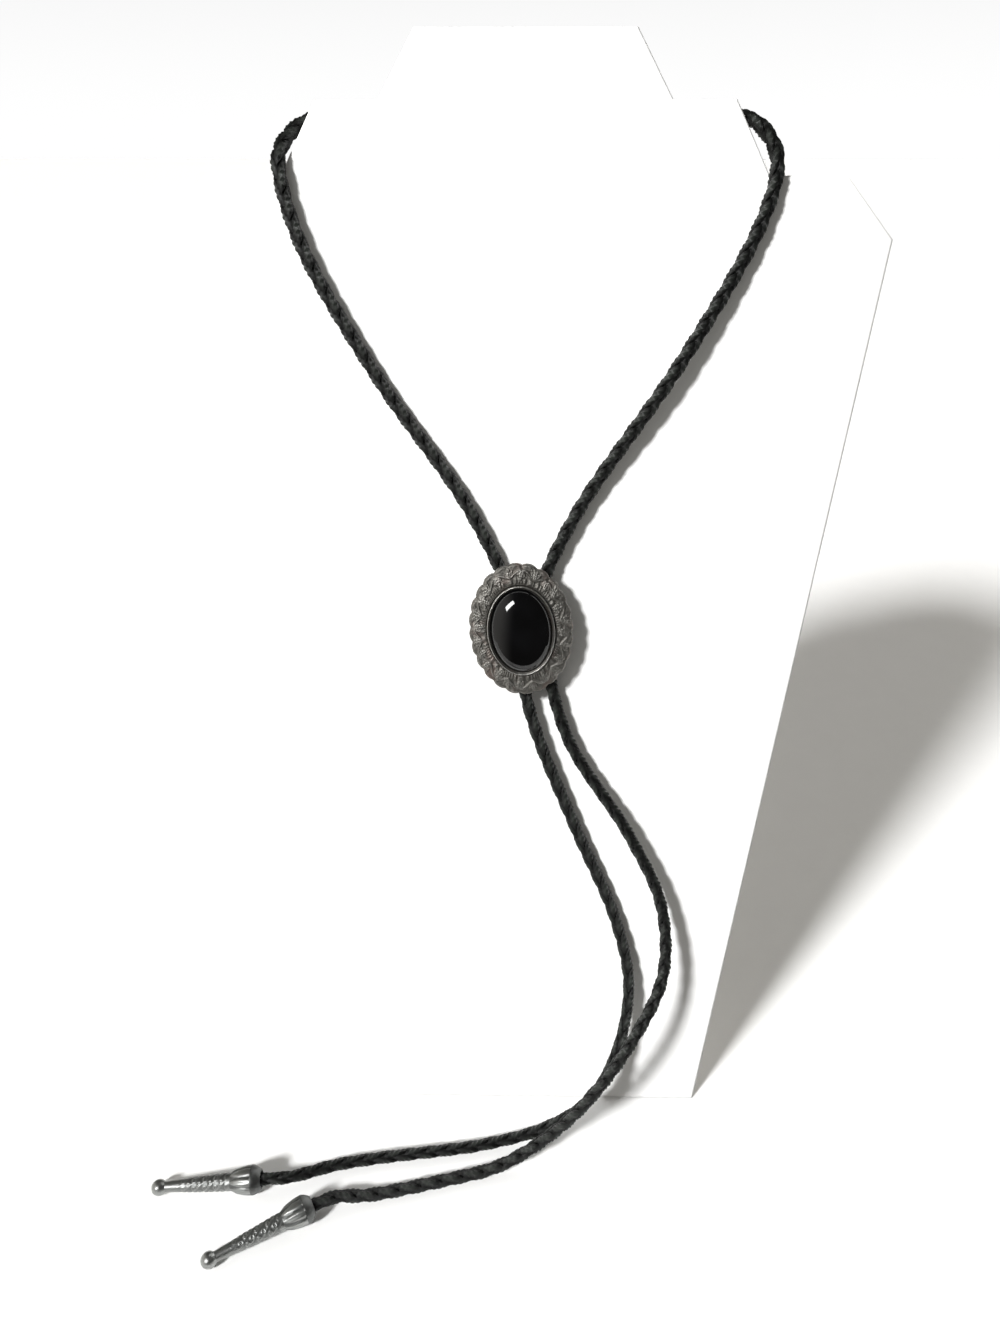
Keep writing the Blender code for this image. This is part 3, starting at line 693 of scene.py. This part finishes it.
board_rows = [board_outline(0, COVER_ROUND + FLAT_RIM)]
for bend in np.linspace(pi / 2, 0, COVER_STEPS):
    board_rows.append(board_outline(COVER_ROUND * (1 - sin(bend)), COVER_ROUND * (1 - cos(bend))))
board_rows.append(board_outline(BOARD_THICKNESS - BACK_ROUND, 0))
board_rows.append(board_outline(BOARD_THICKNESS, BACK_ROUND))
board_rows.append(board_outline(BOARD_THICKNESS, BACK_ROUND + FLAT_RIM))
board_grid = np.stack(board_rows)
faces, head, tail = loft(board_grid, 0)
board = mesh_piece(
    "covered_board", moved(board_grid.reshape(-1, 3), display_place), [*faces, head, tail[::-1]],
    white_card("board_card"), sharp=radians(30),
)
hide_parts("display_board")
refinish("easel_leg", white_card("leg_card"))


# Back lining and hinge: a sheet of thinner paper, cut a little small, is glued on the board's back.
# A strip of white cloth tape, glued over the leg's fold, is the hinge.
LINING_INSET = 0.005
LINING_THICKNESS = 0.0002
LINING_OFF = 0.00004
LEG_THICKNESS = 0.0025
LEG_FOLD_HEIGHT = 0.205
LEG_LEAN = radians(20)
TAPE_HALF_WIDTH = 0.0185
TAPE_REACH = 0.015
TAPE_BEND = 0.004
TAPE_BEND_STEPS = 8
TAPE_THICKNESS = 0.0003
TAPE_CORNERS = ((-1, 0.1), (1, 0.1), (1, 1), (-1, 1))
THREAD_SCALE = 420.0
PULP_DARK, PULP_LIGHT = rgb(0.76, 0.755, 0.735), rgb(0.81, 0.805, 0.79)
CLOTH_DARK, CLOTH_LIGHT = rgb(0.66, 0.65, 0.62), rgb(0.80, 0.79, 0.76)

outline = inset_outline(both_sides(right), LINING_INSET)
near, far = BOARD_THICKNESS + LINING_OFF, BOARD_THICKNESS + LINING_OFF + LINING_THICKNESS
sheet = np.stack([np.insert(outline, 1, off, axis=1) for off in (near, far)])
faces, head, tail = loft(sheet, 0)
lining_paper, tone, place, sockets = new_finish("lining_paper", Specular_IOR_Level=0.2)
pulp = tone.noise(place, scale=240, detail=5, stretch=(1, 1, 0.35))
tone.connect(sockets["Base Color"], pulp.step(0.3, 0.7).blend(PULP_DARK, PULP_LIGHT))
tone.connect(sockets["Roughness"], 0.66 + 0.16 * pulp)
tone.connect(sockets["Normal"], tone.bump(pulp, depth=0.00008, strength=0.6))
lining = mesh_piece(
    "back_lining", moved(sheet.reshape(-1, 3), display_place), [*faces, head, tail[::-1]],
    lining_paper, sharp=radians(30),
)

fold = display_place @ Vector((0, BOARD_THICKNESS + PIECE_GAP + LEG_THICKNESS / 2, LEG_FOLD_HEIGHT))
tab_up = Vector((0, sin(BOARD_LEAN), cos(BOARD_LEAN)))
tab_out = Vector((0, cos(BOARD_LEAN), -sin(BOARD_LEAN)))
leg_down = Vector((0, sin(LEG_LEAN), -cos(LEG_LEAN)))
leg_out = Vector((0, cos(LEG_LEAN), sin(LEG_LEAN)))
crease = fold + (tab_out + leg_out) * (LEG_THICKNESS / 2) / (1 + tab_out.dot(leg_out))
tape_line = [crease + tab_up * TAPE_REACH, crease + tab_up * TAPE_BEND]
for k in range(1, TAPE_BEND_STEPS):
    share = k / TAPE_BEND_STEPS
    above, below = tab_up * TAPE_BEND * (1 - share) ** 2, leg_down * TAPE_BEND * share ** 2
    tape_line.append(crease + above + below)
tape_line += [crease + leg_down * TAPE_BEND, crease + leg_down * TAPE_REACH]
tape_line = np.array([tuple(point) for point in tape_line])
tape_flow = unit(np.gradient(tape_line, axis=0))
tape_out = np.cross((-1, 0, 0), tape_flow)
tape_rows = []
for side, off in TAPE_CORNERS:
    edge = np.array((side * TAPE_HALF_WIDTH, 0, 0))
    tape_rows.append(tape_line + tape_out * TAPE_THICKNESS * off + edge)
tape_grid = np.stack(tape_rows, 1)
faces, head, tail = loft(tape_grid, 0)
hinge_cloth, tone, place, sockets = new_finish("hinge_cloth", Specular_IOR_Level=0.15)
threads = {"Vector": place, "Scale": THREAD_SCALE, "Distortion": 0.6}
warp = tone.node("ShaderNodeTexWave", {"bands_direction": "X"}, threads, "Fac")
weft = tone.node("ShaderNodeTexWave", {"bands_direction": "Z"}, threads, "Fac")
weave = warp * weft
tone.connect(sockets["Base Color"], weave.blend(CLOTH_DARK, CLOTH_LIGHT))
tone.connect(sockets["Roughness"], 0.85 - 0.1 * weave)
tone.connect(sockets["Normal"], tone.bump(weave, depth=0.00012))
hinge = mesh_piece(
    "hinge_tape", tape_grid.reshape(-1, 3), [*faces, head[::-1], tail], hinge_cloth,
    sharp=radians(40),
)


# Table and light: a white table under plain studio light, and a far wall that glows white low down
# and turns a painted grey higher up. The key light comes from the front left, 33 degrees up, so
# that shadows fall to the right and to the back.
TABLE_REACH = 12.0
NEAR_TABLE = (-0.36, -0.10, 0.36, 0.60)
TABLE_SHADE, TABLE_WHITE = rgb(0.85, 0.85, 0.845), rgb(0.88, 0.88, 0.875)
WALL_REACH = 14.0
WALL_SIDES = 64
WALL_FADE = (0.2, 3.5)  # between these heights it turns a little grey
WALL_LOW, WALL_PAINTED_GREY = rgb(1, 1, 1), rgb(0.84, 0.84, 0.84)

white_table, tone, place, sockets = new_finish(
    "white_table", Specular_IOR_Level=0.2, Roughness=0.7
)
mottle = tone.noise(place, scale=60, detail=3)
tone.connect(sockets["Base Color"], mottle.blend(TABLE_SHADE, TABLE_WHITE))


def stage_piece(name, points, faces, finish):
    """A piece of the room, which isn't part of the object and casts no diffuse light on it."""
    mesh = bpy.data.meshes.new(name)
    mesh.from_pydata(points, [], faces)
    mesh.materials.append(finish)
    piece = bpy.data.objects.new(name, mesh)
    bpy.context.collection.objects.link(piece)
    piece.visible_diffuse = False
    return piece


x0, y0, x1, y1 = NEAR_TABLE
near_corners = [(x0, y0, 0), (x1, y0, 0), (x1, y1, 0), (x0, y1, 0)]
far_corners = [
    (x * TABLE_REACH, y * TABLE_REACH, 0) for x, y in ((-1, -1), (1, -1), (1, 1), (-1, 1))
]
stage_piece("table_near", near_corners, [(0, 1, 2, 3)], white_table)
table_frame = [(0, 1, 5, 4), (1, 2, 6, 5), (2, 3, 7, 6), (3, 0, 4, 7)]
table_far = stage_piece("table_far", far_corners + near_corners, table_frame, white_table)
table_far.visible_glossy = False

# The far wall glows and lights nothing. Its colour runs from white low down to a painted grey shade
# higher up.
glowing_wall_painted_grey, tone, place, sockets = new_finish("glowing_wall_painted_grey", Emission_Strength=1.0)
sockets["Base Color"].default_value = rgb(0, 0, 0)
level = tone.node("ShaderNodeSeparateXYZ", sockets={0: place}, output="Z")
tone.connect(sockets["Emission Color"], level.step(*WALL_FADE).blend(WALL_LOW, WALL_PAINTED_GREY))
wall_around = np.linspace(0, 2 * pi, WALL_SIDES, endpoint=False)
wall_way = np.stack([np.cos(wall_around), np.sin(wall_around)], 1)
wall_rows = np.stack([
    np.hstack([WALL_REACH * wall_way, np.full((WALL_SIDES, 1), edge)])
    for edge in (-WALL_REACH, WALL_REACH)
])
wall_faces, _, _ = loft(wall_rows, 0)
wall = stage_piece("far_wall", wall_rows.reshape(-1, 3).tolist(), wall_faces, glowing_wall_painted_grey)
wall.visible_glossy = False
wall.visible_shadow = False


def new_sun(name, way, strength, angle, tint=(1, 1, 1)):
    """A sun that shines along a way and doesn't show in gloss."""
    light = bpy.data.lights.new(name, "SUN")
    light.energy = strength
    light.angle = angle
    light.color = tint
    sun = bpy.data.objects.new(name, light)
    sun.rotation_euler = Vector(way).normalized().to_track_quat("-Z", "Y").to_euler()
    sun.visible_glossy = False
    bpy.context.collection.objects.link(sun)


new_sun("key_light", (0.80, 0.95, -0.80), strength=5.3, angle=radians(9))
new_sun(
    "fill_light", (0.1, 0.85, -0.55), strength=0.45, angle=radians(120), tint=(1, 0.985, 0.93)
)
new_sun(
    "back_light", (-0.45, -0.85, -0.19), strength=2.5, angle=radians(30), tint=(1, 0.965, 0.90)
)

# The soft box is the bright shape that the stone and the metal reflect. The suns light the rest.
SLIDE_MIDDLE = Vector((0, 0.03, 0.17))
BOX_WAY = Vector((0.427, 0.711, -0.559)).normalized()
BOX_DISTANCE = 2.0
BOX_WIDTH, BOX_HEIGHT = 0.40, 0.80
BOX_ROLL = radians(-40)
BOX_POWER = 24.0

box_light = bpy.data.lights.new("soft_box", "AREA")
box_light.shape = "RECTANGLE"
box_light.size = BOX_WIDTH
box_light.size_y = BOX_HEIGHT
box_light.energy = BOX_POWER
soft_box = bpy.data.objects.new("soft_box", box_light)
soft_box.location = SLIDE_MIDDLE - BOX_DISTANCE * BOX_WAY
box_turn = BOX_WAY.to_track_quat("-Z", "Y").to_matrix() @ Matrix.Rotation(BOX_ROLL, 3, "Z")
soft_box.rotation_euler = box_turn.to_euler()
soft_box.visible_diffuse = False
bpy.context.collection.objects.link(soft_box)

# The room is dim, with a soft glow on the left, as from a window, that the metal picks up.
ROOM_TINT = rgb(1.0, 0.97, 0.91)
ROOM_LIGHT, GLOW_LIGHT = 0.06, 0.6
GLOW_WAY = (-0.98, -0.15, 0.08)

room = bpy.data.worlds.new("room")
room.use_nodes = True
tone = Tone(room.node_tree)
way = tone.node("ShaderNodeTexCoord", output="Generated")
leftward = tone.node(
    "ShaderNodeVectorMath", {"operation": "DOT_PRODUCT"}, {0: way, 1: GLOW_WAY}, "Value"
)
glow = leftward.step(0.35, 0.95)
background = room.node_tree.nodes["Background"].inputs
background["Color"].default_value = ROOM_TINT
tone.connect(background["Strength"], ROOM_LIGHT + GLOW_LIGHT * glow)
bpy.context.scene.world = room
bpy.context.scene.view_settings.view_transform = "Standard"
